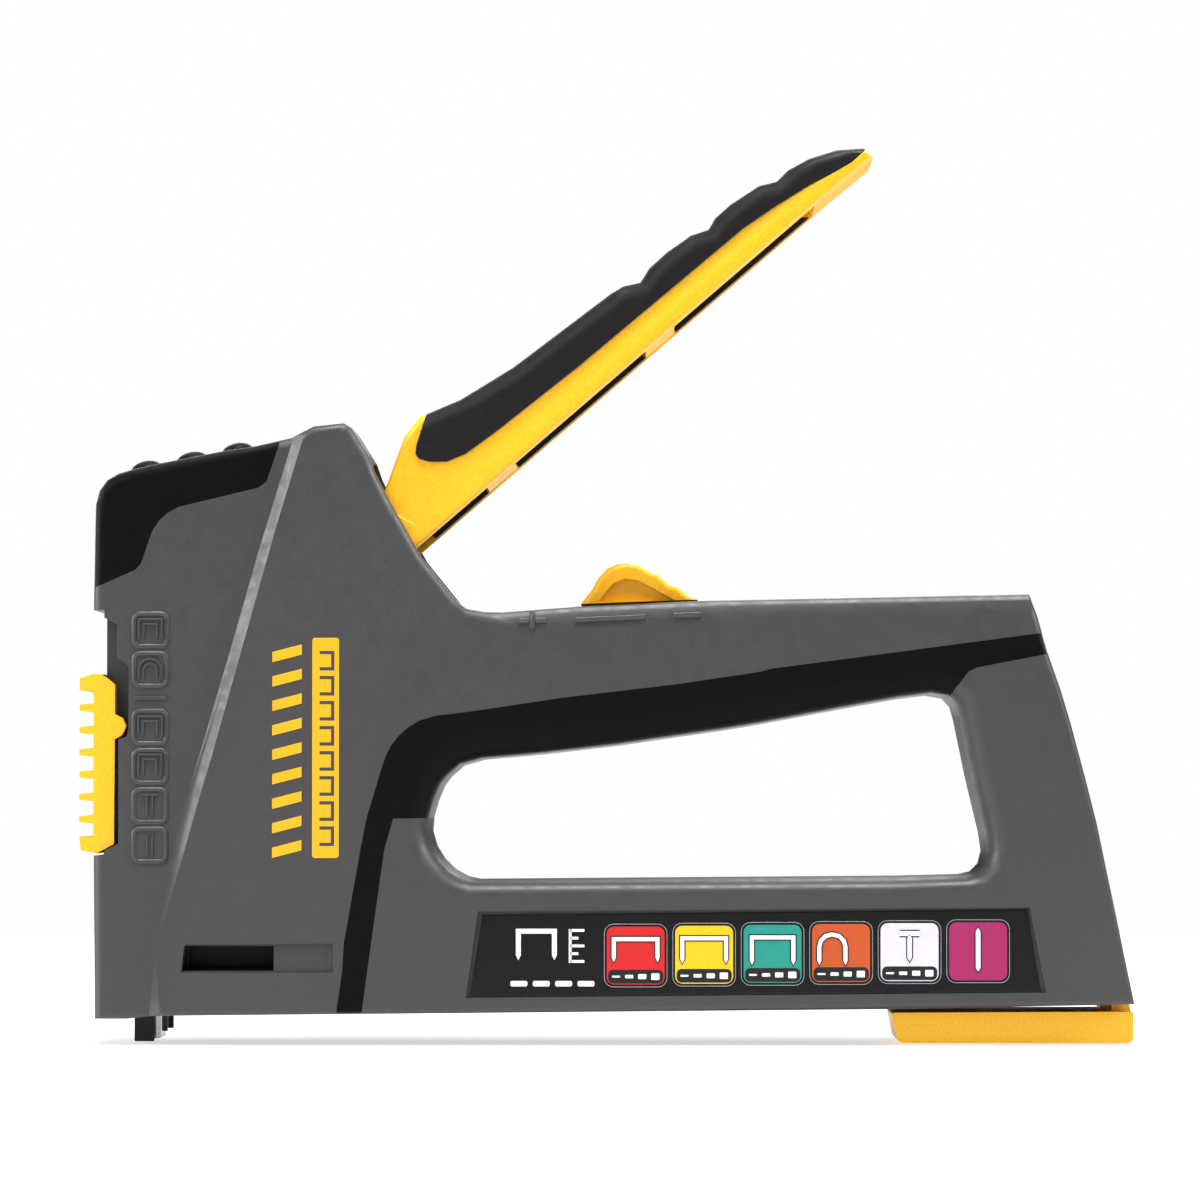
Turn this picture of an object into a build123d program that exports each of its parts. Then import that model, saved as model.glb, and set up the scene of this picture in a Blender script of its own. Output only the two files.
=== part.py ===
from build123d import *
import math
import os

# Hand-operated staple gun, millimetres. X runs to the rear, Z up, Y across the tool.
# The nose tip and the magazine pull stand on Z = 0. Outlines are (X, Z) points.

# ---- driving dimensions ----
HALF = 16.0  # half thickness of the main body
FRONT_HALF = 14.2  # half thickness of the thinner front zone
WALL = 2.4  # wall of the body halves
SKIN = 1.0  # thickness of the soft inlays
LEVER_HALF = 12.8  # half width of the lever
LEVER_WALL = 2.3
CORE_HALF = 9.2  # half width of the narrow front that the selector straddles
PIN_R = 2.5
FACETS = 4  # facets in each rounded edge
OPENING_DEPTH = 4.6  # how far the round of the finger opening reaches in
RAIL_HALF = 4.2  # half width of the feed rail inside a staple
CHANNEL_HALF = 8.0
LEVER_PIVOT = (-48.9, 92.0)
ARM_PIVOT = (-40.0, 66.0)
ROLLER = (-61.9, 86.0)
SCREWS = [(-51.5, 107.0), (-66.0, 42.0), (-36.5, 27.0), (83.5, 33.0), (77.0, 62.5)]

# ---- outlines ----
MAIN = [
    (-83.9, 5.0), (-82.8, 16.8), (-79.7, 35.5), (-74.7, 53.1), (-69.2, 71.8), (-63.9, 90.5),
    (-57.5, 111.5), (-53.8, 113.4), (-48.2, 114.0), (-46.7, 113.1), (-43.6, 108.1), (-42.5, 105.0),
    (-39.9, 99.9), (-34.0, 89.5), (-27.2, 81.0), (-25.6, 79.8), (-22.5, 79.2), (-19.0, 79.1),
    (-4.5, 80.2), (17.0, 81.2), (77.8, 82.4), (79.3, 78.4), (81.2, 71.6), (83.5, 65.0),
    (85.4, 58.6), (87.9, 49.1), (90.1, 40.3), (96.9, 7.2), (52.4, 6.3),
]
MAIN_BEVEL = [
    2.7, 2.6, 2.5, 2.3, 2.1, 1.9, 1.3, 1.3, 1.8, 2.0, 2.0, 2.0, 2.0, 2.0, 1.6, 2.0, 3.4, 4.2, 4.4, 3.8,
    1.6, 1.4, 1.2, 1.2, 1.0, 1.0, 1.0, 1.0, 1.0,
]
MAIN_FLATS = range(6)  # the edges of the diagonal step have a flat chamfer instead of a round
FRONT = [
    (-94.0, 4.4), (-94.4, 45.0), (-94.4, 81.2), (-94.2, 95.3), (-94.1, 99.1), (-93.4, 101.7),
    (-92.0, 103.6), (-90.0, 104.8), (-87.3, 105.6), (-83.5, 106.5), (-78.4, 107.5), (-70.0, 109.1),
    (-64.6, 109.9), (-57.5, 111.5), (-52.0, 111.0), (-76.0, 5.4), (-80.6, 5.2), (-88.1, 4.4),
]
FRONT_BEVEL = [1.9] * 13 + [1.2, 0.0] + [1.0] * 3
NOTCH = [
    (-99.0, 79.6), (-94.4, 79.6), (-93.1, 78.6), (-90.0, 76.9), (-90.0, 70.9), (-87.8, 69.2),
    (-87.8, 57.5), (-88.2, 56.3), (-89.7, 55.7), (-89.6, 36.6), (-94.1, 34.4), (-99.0, 34.4),
]
OPENING = [
    (-29.3, 48.9), (-30.4, 47.4), (-31.6, 44.6), (-32.5, 41.4), (-32.7, 38.8), (-31.9, 36.0),
    (-30.4, 33.6), (-28.4, 31.6), (-26.0, 30.3), (-23.8, 29.8), (53.8, 30.4), (65.9, 30.7),
    (68.2, 31.2), (69.7, 32.7), (70.3, 35.1), (69.8, 38.6), (67.4, 48.7), (65.2, 59.5),
    (64.5, 62.0), (63.0, 63.7), (59.9, 64.2), (54.9, 63.6), (46.9, 62.2), (28.2, 58.7),
    (22.3, 57.7), (1.6, 54.7), (-12.4, 53.1), (-22.8, 52.2), (-26.8, 51.1),
]
OPENING_BEVEL = [
    5.6, 5.2, 5.0, 4.8, 4.6, 4.3, 3.8, 3.3, 3.0, 2.6, 2.4, 2.6, 2.9, 3.2, 3.6, 3.8, 3.8, 4.0, 4.2,
    4.4, 4.6, 4.8, 5.0, 5.0, 5.0, 5.3, 5.6, 5.6, 5.6,
]
BAND = [
    (-49.4, 0.0), (-49.4, 5.6), (-48.3, 13.3), (-48.0, 18.4), (-45.0, 35.5), (-43.9, 41.2),
    (-41.4, 49.6), (-40.4, 52.6), (-39.4, 54.6), (-38.0, 56.4), (-36.2, 58.0), (-34.2, 59.2),
    (-31.2, 60.1), (-26.9, 60.6), (-21.8, 61.3), (-7.8, 63.4), (1.6, 64.5), (13.3, 65.9),
    (28.2, 68.1), (30.4, 68.7), (63.2, 73.0), (78.8, 75.1), (90.0, 76.6), (90.0, 73.0),
    (81.0, 71.4), (68.1, 68.9), (66.6, 68.2), (64.0, 64.8), (60.0, 58.0), (0.0, 48.0),
    (-22.0, 46.0), (-27.0, 41.4), (-39.0, 41.2), (-40.6, 35.5), (-43.0, 18.4), (-43.7, 13.3),
    (-44.7, 5.6), (-44.7, 0.0),
]
PAD = [
    (-99.0, 83.7), (-94.3, 83.7), (-92.9, 84.2), (-86.6, 87.0), (-85.6, 88.1), (-83.6, 94.0),
    (-82.3, 96.0), (-80.8, 97.4), (-78.6, 98.6), (-64.0, 102.1), (-62.5, 103.2), (-60.3, 109.6),
    (-59.5, 114.0), (-99.0, 114.0),
]
HEAD_ROOM = [
    (-79.0, 30.0), (-79.0, 104.6), (-72.0, 105.9), (-56.0, 109.0), (-52.0, 110.8), (-48.0, 111.0),
    (-45.0, 107.0), (-30.0, 118.0), (-18.0, 90.0), (-26.6, 80.9), (-28.5, 78.3), (-26.5, 77.0),
    (-20.0, 76.4), (-4.5, 77.4), (17.0, 78.4), (73.0, 79.4), (76.0, 77.4), (78.4, 69.0),
    (74.0, 66.5), (60.0, 67.8), (46.9, 65.6), (1.6, 58.1), (-12.4, 56.6), (-24.0, 55.9),
    (-32.0, 53.4), (-36.4, 44.0), (-37.0, 30.0),
]
HAMMER_ROOM = [
    (-90.9, 33.0), (-90.9, 99.0), (-88.9, 102.2), (-84.0, 103.4), (-78.0, 104.6), (-78.0, 33.0),
]
REAR_ROOM = [
    (76.2, 34.0), (77.6, 30.4), (88.6, 30.4), (87.4, 40.0), (85.2, 49.0), (82.6, 58.6), (80.8, 64.6),
    (73.0, 64.6),
]
STORE_ROOM = [(-82.0, 9.0), (-79.0, 27.0), (91.0, 27.0), (93.0, 18.0), (94.3, 9.6), (52.0, 8.9)]
LEVER = [
    (-58.2, 92.0), (-57.6, 88.4), (-55.6, 85.2), (-52.6, 83.3), (-48.9, 82.7), (-44.6, 83.2),
    (-35.1, 90.9), (38.1, 154.0), (49.5, 163.4), (47.6, 165.2), (42.5, 164.8), (37.5, 163.2),
    (33.7, 161.1), (31.6, 159.0), (28.3, 158.2), (23.0, 154.7), (20.2, 152.2), (19.0, 150.1),
    (15.7, 149.0), (11.3, 145.9), (8.0, 142.9), (6.4, 140.3), (3.2, 139.6), (1.0, 138.3),
    (-5.0, 133.8), (-17.1, 124.6), (-26.9, 118.6), (-34.4, 115.4), (-37.3, 111.6), (-41.0, 101.5),
    (-44.5, 101.0), (-48.9, 101.3), (-52.6, 100.6), (-55.6, 98.8), (-57.6, 95.6),
]
LEVER_BEVEL = [
    1.0, 1.0, 1.0, 1.0, 1.0, 0.8, 0.8, 0.8, 0.5, 1.4, 2.2, 2.6, 3.0, 3.2, 3.2, 3.2, 3.2, 3.2, 3.2,
    3.2, 3.2, 3.2, 3.2, 3.2, 3.2, 3.2, 2.8, 1.8, 1.3, 1.0, 1.0, 1.0, 1.0, 1.0, 1.0,
]
LEVER_PAD = [
    (-33.1, 122.0), (-33.1, 116.0), (-35.0, 109.8), (-35.1, 108.4), (-34.4, 107.5), (-32.4, 107.0),
    (-29.4, 107.0), (-25.8, 108.5), (-20.3, 112.5), (-5.0, 124.6), (13.1, 139.8), (19.3, 145.0),
    (25.4, 150.1), (31.5, 154.3), (37.5, 158.0), (42.5, 160.6), (45.4, 162.3), (48.4, 165.0),
    (50.0, 172.0), (20.0, 172.0),
]
LEVER_FLUTE = [
    (-42.5, 99.6), (-36.4, 96.0), (45.6, 166.8), (36.0, 172.0), (-33.1, 128.0), (-37.6, 113.0),
]
LEVER_HOLLOW = [
    (-70.0, 92.0), (-60.0, 70.0), (-44.6, 78.0), (41.0, 151.8), (37.2, 156.6), (33.5, 156.6),
    (20.5, 147.6), (8.8, 138.0), (-2.9, 129.6), (-15.0, 120.6), (-25.0, 114.0), (-31.0, 111.4),
    (-34.2, 108.5), (-38.0, 98.8), (-41.6, 97.2), (-45.0, 104.0), (-62.0, 104.0),
]
KNOB = [
    (-4.7, 80.85), (-2.8, 83.2), (-1.4, 85.7), (0.3, 87.5), (2.2, 88.3), (4.1, 88.5), (6.1, 88.1),
    (8.0, 86.9), (9.6, 86.4), (11.6, 84.6), (13.4, 84.0), (15.2, 82.5), (17.0, 81.7),
]
SADDLE = [
    (-94.3, 67.9), (-92.3, 67.4), (-90.4, 65.9), (-90.4, 60.4), (-89.0, 59.7), (-88.3, 58.2),
    (-89.0, 56.6), (-90.4, 55.8), (-90.5, 36.5), (-93.7, 34.8), (-94.3, 34.9),
]
ARM = [
    (-85.2, 65.0), (-79.6, 65.0), (-77.6, 68.0), (-77.6, 90.4), (-76.6, 92.2), (-60.6, 92.2),
    (-59.4, 91.2), (-59.4, 89.2), (-60.2, 88.5), (-72.6, 88.5), (-74.0, 87.0), (-74.0, 74.6),
    (-68.0, 70.6), (-50.0, 72.0), (-44.6, 72.6), (-43.0, 81.0), (-38.6, 82.0), (-34.4, 66.0),
    (-35.4, 62.0), (-40.0, 60.0), (-46.0, 60.6), (-72.0, 59.4), (-79.6, 62.0), (-85.2, 62.0),
]


# ---- helpers ----
def wire_at(points, y):
    return Polyline([(x, y, z) for x, z in points], close=True)


def prism(points, y0, y1):
    """Solid with the (X, Z) outline between two Y levels."""
    return extrude(make_face(wire_at(points, y0)), amount=y1 - y0, dir=(0, 1, 0))


def inset(points, amounts):
    """The outline with every side moved inwards by its own amount."""
    count = len(points)
    ends = points[1:] + points[:1]
    area = sum(a[0] * b[1] - b[0] * a[1] for a, b in zip(points, ends))
    turn = 1.0 if area > 0 else -1.0
    lines = []
    for i in range(count):
        (x0, z0), (x1, z1) = points[i], points[(i + 1) % count]
        length = math.hypot(x1 - x0, z1 - z0)
        nx, nz = -(z1 - z0) / length * turn, (x1 - x0) / length * turn
        lines.append((nx, nz, nx * x0 + nz * z0 + amounts[i]))
    result = []
    for i in range(count):
        a, b = lines[i - 1], lines[i]
        det = a[0] * b[1] - a[1] * b[0]
        if abs(det) < 0.02:
            shift = (amounts[i - 1] + amounts[i]) / 2
            result.append((points[i][0] + b[0] * shift, points[i][1] + b[1] * shift))
        else:
            result.append(((a[2] * b[1] - b[2] * a[1]) / det, (a[0] * b[2] - b[0] * a[2]) / det))
    return result


def tapered(points, amounts, y0, y1):
    """Solid from the outline at y0 to its inset at y1."""
    low = make_face(wire_at(points, y0))
    high = make_face(wire_at(inset(points, amounts), y1))
    return loft([low, high], ruled=True)


def bevelled(points, amounts, half, depth, flats=()):
    """Half of a plate, from Y = 0 outwards, with facets that round its outer edge."""
    solid = prism(points, 0, half - depth)
    ring, y = points, half - depth
    for i in range(FACETS):
        share, rise = facet(i)
        step = [a * (rise if k in flats else share) for k, a in enumerate(amounts)]
        solid += tapered(ring, step, y, y + depth * rise)
        ring, y = inset(ring, step), y + depth * rise
    return solid


def facet(i):
    """Share of the inset and of the depth that one facet of a quarter round takes."""
    a, b = math.radians(90 * i / FACETS), math.radians(90 * (i + 1) / FACETS)
    return math.cos(a) - math.cos(b), math.sin(b) - math.sin(a)


def rod(x, z, radius, y0, y1):
    """Cylinder across the tool."""
    return Pos(x, (y0 + y1) / 2, z) * Rot(90, 0, 0) * Cylinder(radius, y1 - y0)


def block(x0, x1, y0, y1, z0, z1):
    return Pos((x0 + x1) / 2, (y0 + y1) / 2, (z0 + z1) / 2) * Box(x1 - x0, y1 - y0, z1 - z0)


def mirrored(shape):
    return mirror(shape, about=Plane.XZ)


def save(shape, name):
    export_step(shape, f"parts/{name}.step")


def coil(radius, wire, length, turns):
    """Helical spring along Z from the origin."""
    path = Helix(pitch=length / turns, height=length, radius=radius)
    section = Plane(origin=path @ 0, z_dir=path % 0) * Circle(wire)
    return sweep(section, path=path, is_frenet=True)


# ---- body ----
def body_form(skin):
    """Outer form of one half, from Y = 0 outwards, set in by skin all round."""
    main = inset(MAIN, [skin] * len(MAIN)) if skin else MAIN
    front = inset(FRONT, [skin] * len(FRONT)) if skin else FRONT
    hole = inset(OPENING, [-skin] * len(OPENING)) if skin else OPENING
    form = bevelled(front, FRONT_BEVEL, FRONT_HALF - skin, 1.8)
    form += bevelled(main, MAIN_BEVEL, HALF - skin, 1.8, MAIN_FLATS)
    cut = prism(hole, -1, HALF + 1)
    ring, y = hole, HALF - skin - OPENING_DEPTH
    for i in range(FACETS):
        share, rise = facet(i)
        step = [-b * share for b in OPENING_BEVEL]
        cut += tapered(ring, step, y, y + OPENING_DEPTH * rise + (0.01 if i == FACETS - 1 else 0))
        ring, y = inset(ring, step), y + OPENING_DEPTH * rise
    return form - cut


def top_ribs():
    ribs = []
    for x, z in [(-84.6, 105.9), (-76.2, 107.6), (-67.8, 109.2)]:
        arc = [(-2.7, -1.6), (-1.9, 0.3), (-0.6, 1.3), (0.8, 1.5), (2.1, 1.0), (3.0, -0.6)]
        ribs.append(prism([(x + dx, z + dz) for dx, dz in arc], 0, 9.5))
    return ribs


def inlay_and_base():
    """The whole form, and the thin skins cut from it for the soft inlays."""
    form = body_form(0)
    skin = form - body_form(SKIN)
    band = skin & prism(BAND, -1, HALF + 1)
    pad = skin & prism(PAD, -1, HALF + 1)
    core = body_form(SKIN)
    for rib in top_ribs():
        pad += rib - core
    return form, band, pad


def body_half():
    """One half of the body with its cavities, without screw details."""
    form, band, pad = inlay_and_base()
    form -= prism(NOTCH, CORE_HALF, HALF + 1)
    band -= prism(NOTCH, CORE_HALF, HALF + 1)
    pad -= prism(NOTCH, CORE_HALF, HALF + 1)
    form -= block(-99, -92.3, -1, HALF, 34.4, 79.6)
    form -= pad
    form -= band
    room = prism(HEAD_ROOM, -1, HALF - WALL)
    behind_front = prism([(-62, 30), (-66, 120), (90, 120), (90, 30)], -1, HALF)
    room &= behind_front + block(-80, -55, -1, 11.6, 30, 120)
    form -= room
    form -= prism(REAR_ROOM, -1, HALF - WALL)
    form -= prism(HAMMER_ROOM, -1, 8.0)
    form -= prism(STORE_ROOM, -1, 11.0)
    form -= block(-81.0, 98.0, -1, CHANNEL_HALF + 0.2, 0, 10)
    form -= block(90.0, 98.0, -1, CHANNEL_HALF + 0.2, 0, 23.4)
    form -= block(-87.4, -79.0, -1, 9.1, 0, 34)
    form -= block(-8.0, 21.0, -1, 4.6, 76, 84)
    form -= prism([(-77.3, 17.9), (-77.8, 13.3), (-60.9, 13.3), (-60.9, 17.9)], 8.1, HALF + 1)
    form -= prism([(-77.9, 13.0), (-76.9, 18.2), (-50.0, 18.3), (-50.0, 13.0)], HALF - 0.8, HALF + 1)
    form -= prism([(-25.6, 8.4), (-23.4, 24.2), (77.6, 25.0), (80.6, 9.4)], HALF - 0.9, HALF + 1)
    form -= rod(*LEVER_PIVOT, PIN_R, -1, HALF - 1.2)
    form -= rod(*ARM_PIVOT, PIN_R, -1, HALF - 1.2)
    return form, band, pad


def label_plate():
    return prism([(-24.9, 8.8), (-22.6, 23.5), (77.2, 24.5), (79.6, 9.8)], HALF - 0.9, HALF - 0.35)


def screw_posts():
    """Posts between the walls and the parting plane, one for each screw."""
    return [rod(x, z, 3.1, 0, HALF - 2.0) for x, z in SCREWS]


def screw(x, z):
    shank = rod(x, z, 1.3, -8.0, HALF - 3.0)
    head = rod(x, z, 2.7, HALF - 3.0, HALF - 1.4)
    head -= Pos(x, HALF - 1.4, z) * Box(3.4, 1.6, 0.8)
    head -= Pos(x, HALF - 1.4, z) * Box(0.8, 1.6, 3.4)
    return shank + head


# ---- mechanism held in the body ----
def nose_plate():
    """Hard steel guide in front of the driver blade, with the black tip."""
    plate = prism([(-87.3, 0.0), (-87.3, 33.0), (-83.6, 33.0), (-83.6, 0.0)], -6.4, 6.4)
    plate += block(-87.3, -83.6, -9.0, 9.0, 6.0, 33.0)
    plate -= block(-84.2, -83.0, -5.9, 5.9, -1, 34)
    plate -= block(-88.0, -86.5, -3.4, 3.4, -1, 2.2)
    return plate


def magazine_channel():
    channel = block(-82.2, 90.0, -CHANNEL_HALF, CHANNEL_HALF, 8.2, 22.8)
    channel += block(-82.2, -81.1, -6.4, 6.4, 1.9, 9.0)
    channel -= block(-81.1, 95.0, -CHANNEL_HALF + 1, CHANNEL_HALF - 1, 0, 21.6)
    channel -= block(-83.0, -81.0, -5.9, 5.9, 0, 21.0)
    channel -= block(-77.0, -61.2, -10, 10, 13.6, 17.6)
    return channel


def return_spring():
    """Coil round the lever pin, beside the rocker arm."""
    return Pos(LEVER_PIVOT[0], 2.8, LEVER_PIVOT[1]) * Rot(-90, 0, 0) * coil(3.5, 0.5, 5.4, 5)


# ---- lever ----
def lever_parts():
    half = bevelled(LEVER, LEVER_BEVEL, LEVER_HALF, 2.6)
    form = half + mirrored(half)
    skin = form - prism(inset(LEVER, [1.4] * len(LEVER)), -LEVER_HALF + 1.4, LEVER_HALF - 1.4)
    pad = skin & prism(LEVER_PAD, -20, 20)
    shell = form - pad
    flute = tapered(LEVER_FLUTE, [0.0, -2.6, 0.0, 0.0, 0.0, 0.0], LEVER_HALF - 0.45, LEVER_HALF + 0.01)
    shell -= flute
    shell -= mirrored(flute)
    inner = LEVER_HALF - LEVER_WALL
    shell -= prism(LEVER_HOLLOW, -inner, inner)
    shell -= rod(*LEVER_PIVOT, PIN_R, -20, 20)
    return shell, pad


def along_lever(distance, depth):
    """Point at a distance up the lever's underside and a depth into it, from the lower rear corner."""
    a = math.radians(40.76)
    x0, z0 = -35.1, 90.9
    return (
        x0 + distance * math.cos(a) - depth * math.sin(a),
        z0 + distance * math.sin(a) + depth * math.cos(a),
    )


def lever_box(d0, d1, h0, h1, y0, y1):
    corners = [(d0, h0), (d1, h0), (d1, h1), (d0, h1)]
    return prism([along_lever(d, h) for d, h in corners], y0, y1)


BRIDGES = (17.5, 56.5)  # where the clips across the hollow start, up the lever


def lever_core():
    """Steel channel in the hollow, with two inner arms that carry the roller past the pin."""
    inner = LEVER_HALF - LEVER_WALL - 0.2
    inner_arm = [
        (-67.0, 84.4), (-64.4, 82.2), (-60.0, 82.6), (-50.0, 83.2), (-44.6, 83.9), along_lever(4.6, 1.6),
        along_lever(4.6, 5.6), (-42.0, 96.0), (-46.0, 100.4), (-52.0, 100.0), (-58.0, 91.6), (-66.0, 88.0),
    ]
    flange = [(4.0, 0.3), (97.0, 0.3), (95.0, 2.0), (80.0, 5.6), (4.0, 5.6)]
    core = lever_box(8.0, 80.0, 4.6, 5.6, -inner, inner)
    for y0, y1 in [(-inner, -inner + 1.2), (inner - 1.2, inner)]:
        core += prism([along_lever(d, h) for d, h in flange], y0, y1)
        core += prism(inner_arm, y0, y1)
    for d in BRIDGES:
        core -= lever_box(d - 0.3, d + 7.3, -1.0, 1.5, -20, 20)
    core -= rod(*LEVER_PIVOT, PIN_R, -20, 20)
    core -= rod(*ROLLER, 2.0, -20, 20)
    return core


def lever_bridges():
    """Two clips across the hollow, joined to the shell."""
    inner = LEVER_HALF - LEVER_WALL
    return [lever_box(d, d + 7.0, 0.4, 1.2, -inner, inner) for d in BRIDGES]


# ---- rocker arm, hammer, adjuster ----
def impact_arm():
    arm = prism(ARM, -2.0, 2.0)
    arm += rod(-85.2, 63.5, 3.6, -2.0, 2.0)
    arm += rod(*ARM_PIVOT, 4.4, -3.4, 3.4)
    arm -= rod(*ARM_PIVOT, PIN_R + 0.05, -9, 9)
    return arm


SPRING_TILT = 15.0
SPRING_START = (-36.4, 74.2)
SPRING_LENGTH = 29.0


def on_spring(shape):
    """Place a shape made along Z onto the spring's line."""
    return Pos(SPRING_START[0], 0, SPRING_START[1]) * Rot(0, 90 + SPRING_TILT, 0) * shape


def spring_cup():
    cup = Pos(0, 0, -0.2) * Cylinder(5.0, 2.0, align=(Align.CENTER, Align.CENTER, Align.MIN))
    cup += Cylinder(2.6, 6.0, align=(Align.CENTER, Align.CENTER, Align.MIN))
    return on_spring(cup) - prism(ARM, -2.0, 2.0)


def hammer_block():
    hammer = block(-90.5, -80.6, -7.7, 7.7, 50.0, 77.0)
    hammer -= block(-89.7, -80.0, -2.5, 2.5, 59.2, 67.8)
    hammer -= block(-83.4, -82.5, -5.6, 5.6, 49.0, 58.0)
    hammer -= block(-88.0, -83.0, -4.5, 4.5, 70.5, 78.0)
    return hammer


def hammer_bumper():
    return block(-90.2, -81.0, -7.6, 7.6, 34.2, 49.6) - block(-83.8, -82.1, -6.0, 6.0, 30, 60)


def adjuster_knob():
    half = bevelled(KNOB, [1.0] * (len(KNOB) - 1) + [0.0], 8.3, 1.4)
    knob = half + mirrored(half)
    for side in (-1, 1):
        dimple = prism([(-1.4, 81.4), (1.2, 84.6), (3.4, 85.6), (6.0, 85.2), (13.0, 81.4)], 7.5, 9.0)
        knob -= dimple if side > 0 else mirrored(dimple)
    knob += block(1.0, 11.0, -4.2, 4.2, 75.4, 82.2)
    return knob


def adjuster_seat():
    seat = block(-4.6, 12.0, -6.0, 6.0, 61.6, 75.4)
    room = Cylinder(9.5, 12.0, align=(Align.CENTER, Align.CENTER, Align.MIN))
    seat -= on_spring(Pos(0, 0, SPRING_LENGTH - 12.0) * room)
    return seat


# ---- selector ----
def selector_slide():
    saddle = prism(SADDLE, -13.4, 13.4)
    saddle += block(-94.3, -92.6, -13.4, 13.4, 35.6, 67.8)
    saddle += prism([(-96.9, 64.8), (-96.9, 67.0), (-94.2, 67.9), (-94.2, 64.8)], -13.4, 13.4)
    saddle += prism([(-96.9, 37.9), (-96.6, 35.4), (-94.2, 34.9), (-94.2, 37.9)], -13.4, 13.4)
    for i in range(6):
        z = 61.6 - 4.1 * i
        tooth = [(-94.2, z - 0.85), (-96.9, z - 0.55), (-96.9, z + 0.55), (-94.2, z + 0.85)]
        saddle += prism(tooth, -13.4, 13.4)
    saddle -= block(-92.6, -80.0, -CORE_HALF - 0.2, CORE_HALF + 0.2, 30, 80)
    saddle -= block(-98.0, -93.0, -1.2, 1.2, 39.0, 43.0)
    return saddle


def selector_gate():
    return block(-94.2, -93.1, -1.1, 1.1, 39.2, 42.8)


# ---- magazine ----
def feed_rail():
    rail = block(-79.5, 93.0, -RAIL_HALF, RAIL_HALF, 8.4, 9.4)
    rail += block(-79.5, 88.0, -RAIL_HALF, -RAIL_HALF + 0.9, 8.4, 18.4)
    rail += block(-79.5, 88.0, RAIL_HALF - 0.9, RAIL_HALF, 8.4, 18.4)
    rail += block(88.0, 93.0, -RAIL_HALF, RAIL_HALF, 8.4, 20.4)
    rail -= Pos(90.5, 0, 14.0) * Rot(0, 90, 0) * Cylinder(1.0, 12)
    return rail


def magazine_pull():
    side = [(52.6, 5.6), (53.6, 0.4), (54.4, 0.0), (96.2, 0.0), (96.9, 0.6), (96.9, 5.8)]
    pull = prism(side, -12.0, 12.0)
    pull = chamfer(pull.edges().filter_by(Axis.Y), 0.3)
    pull += prism([(93.2, 5.0), (96.9, 5.0), (93.9, 20.4), (93.2, 20.4)], -7.6, 7.6)
    pull += block(91.4, 93.2, -4.0, 4.0, 5.0, 8.3)
    pull -= Pos(58.0, 0, 0.0) * Box(3.0, 14.0, 1.0)
    return pull


def rail_rod():
    return Pos(6.0, 0, 14.0) * Rot(0, 90, 0) * Cylinder(1.0, 171.0)


def pusher():
    body = block(-79.2, -65.2, -3.0, 3.0, 10.4, 17.8)
    body += block(-79.2, -67.2, -5.9, 5.9, 18.8, 20.6)
    body += block(-79.2, -67.2, -3.0, 3.0, 17.0, 19.6)
    body -= Pos(-72.2, 0, 14.0) * Rot(0, 90, 0) * Cylinder(1.08, 20.0)
    return body


def pusher_spring():
    return Pos(-64.6, 0, 14.0) * Rot(0, 90, 0) * coil(1.9, 0.3, 150.0, 30)


# ---- build ----
def build_body():
    form, band, pad = body_half()
    left = mirrored(form)
    right = form
    for post in screw_posts():
        right += post
        left += mirrored(post)
    for x, z in SCREWS:
        right -= rod(x, z, 1.3, -1, HALF + 1)
        right -= rod(x, z, 2.7, HALF - 3.0, HALF + 1)
        left -= rod(x, z, 1.3, -8.0, 1)
    save(left, "left_shell")
    save(right, "right_shell")
    save(mirrored(band), "left_grip_inlay")
    save(band, "right_grip_inlay")
    save(mirrored(pad), "left_nose_pad")
    save(pad, "right_nose_pad")
    save(mirrored(label_plate()), "left_label_plate")
    save(label_plate(), "right_label_plate")
    save(Compound([screw(x, z) for x, z in SCREWS]), "body_screws")


def build_mechanism():
    save(nose_plate(), "nose_plate")
    save(magazine_channel(), "magazine_channel")
    save(rod(*LEVER_PIVOT, PIN_R, -14.8, 14.8), "lever_pin")
    save(rod(*ARM_PIVOT, PIN_R, -14.8, 14.8), "arm_pin")
    save(return_spring(), "return_spring")
    save(hammer_bumper(), "hammer_bumper")
    save(hammer_block(), "hammer_block")
    save(block(-83.4, -82.5, -5.6, 5.6, 0.6, 58.0), "driver_blade")
    save(impact_arm(), "impact_arm")
    save(spring_cup(), "spring_cup")
    save(on_spring(Pos(0, 0, 3.4) * coil(4.1, 0.8, SPRING_LENGTH - 16.4, 5)), "main_spring")
    save(adjuster_knob(), "adjuster_knob")
    save(adjuster_seat(), "adjuster_seat")
    save(selector_slide(), "selector_slide")
    save(selector_gate(), "selector_gate")


def build_lever():
    shell, pad = lever_parts()
    for bridge in lever_bridges():
        shell += bridge
    save(shell, "lever_shell")
    save(pad, "lever_grip")
    save(lever_core(), "lever_core")
    save(rod(*ROLLER, 2.0, -9.8, 9.8), "lift_roller")


def build_magazine():
    save(feed_rail(), "feed_rail")
    save(magazine_pull(), "magazine_pull")
    save(rail_rod(), "rail_rod")
    save(pusher(), "pusher")
    save(pusher_spring(), "pusher_spring")


os.makedirs("parts", exist_ok=True)
build_body()
build_mechanism()
build_lever()
build_magazine()
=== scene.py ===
# %% [markdown]
# # Staple gun
# The tool is a plastic body in two halves, a squeeze lever and a few sliders. The frame brings the CAD
# solids, already in place and in metres. This file gives them their finish and adds what is too fine for
# CAD: rounded edges, printed tiles, raised symbols, domed ribs and the coils of two springs.

# %% Load the frame
import math
import bmesh
import bpy
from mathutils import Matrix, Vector
from mathutils.bvhtree import BVHTree


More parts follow.
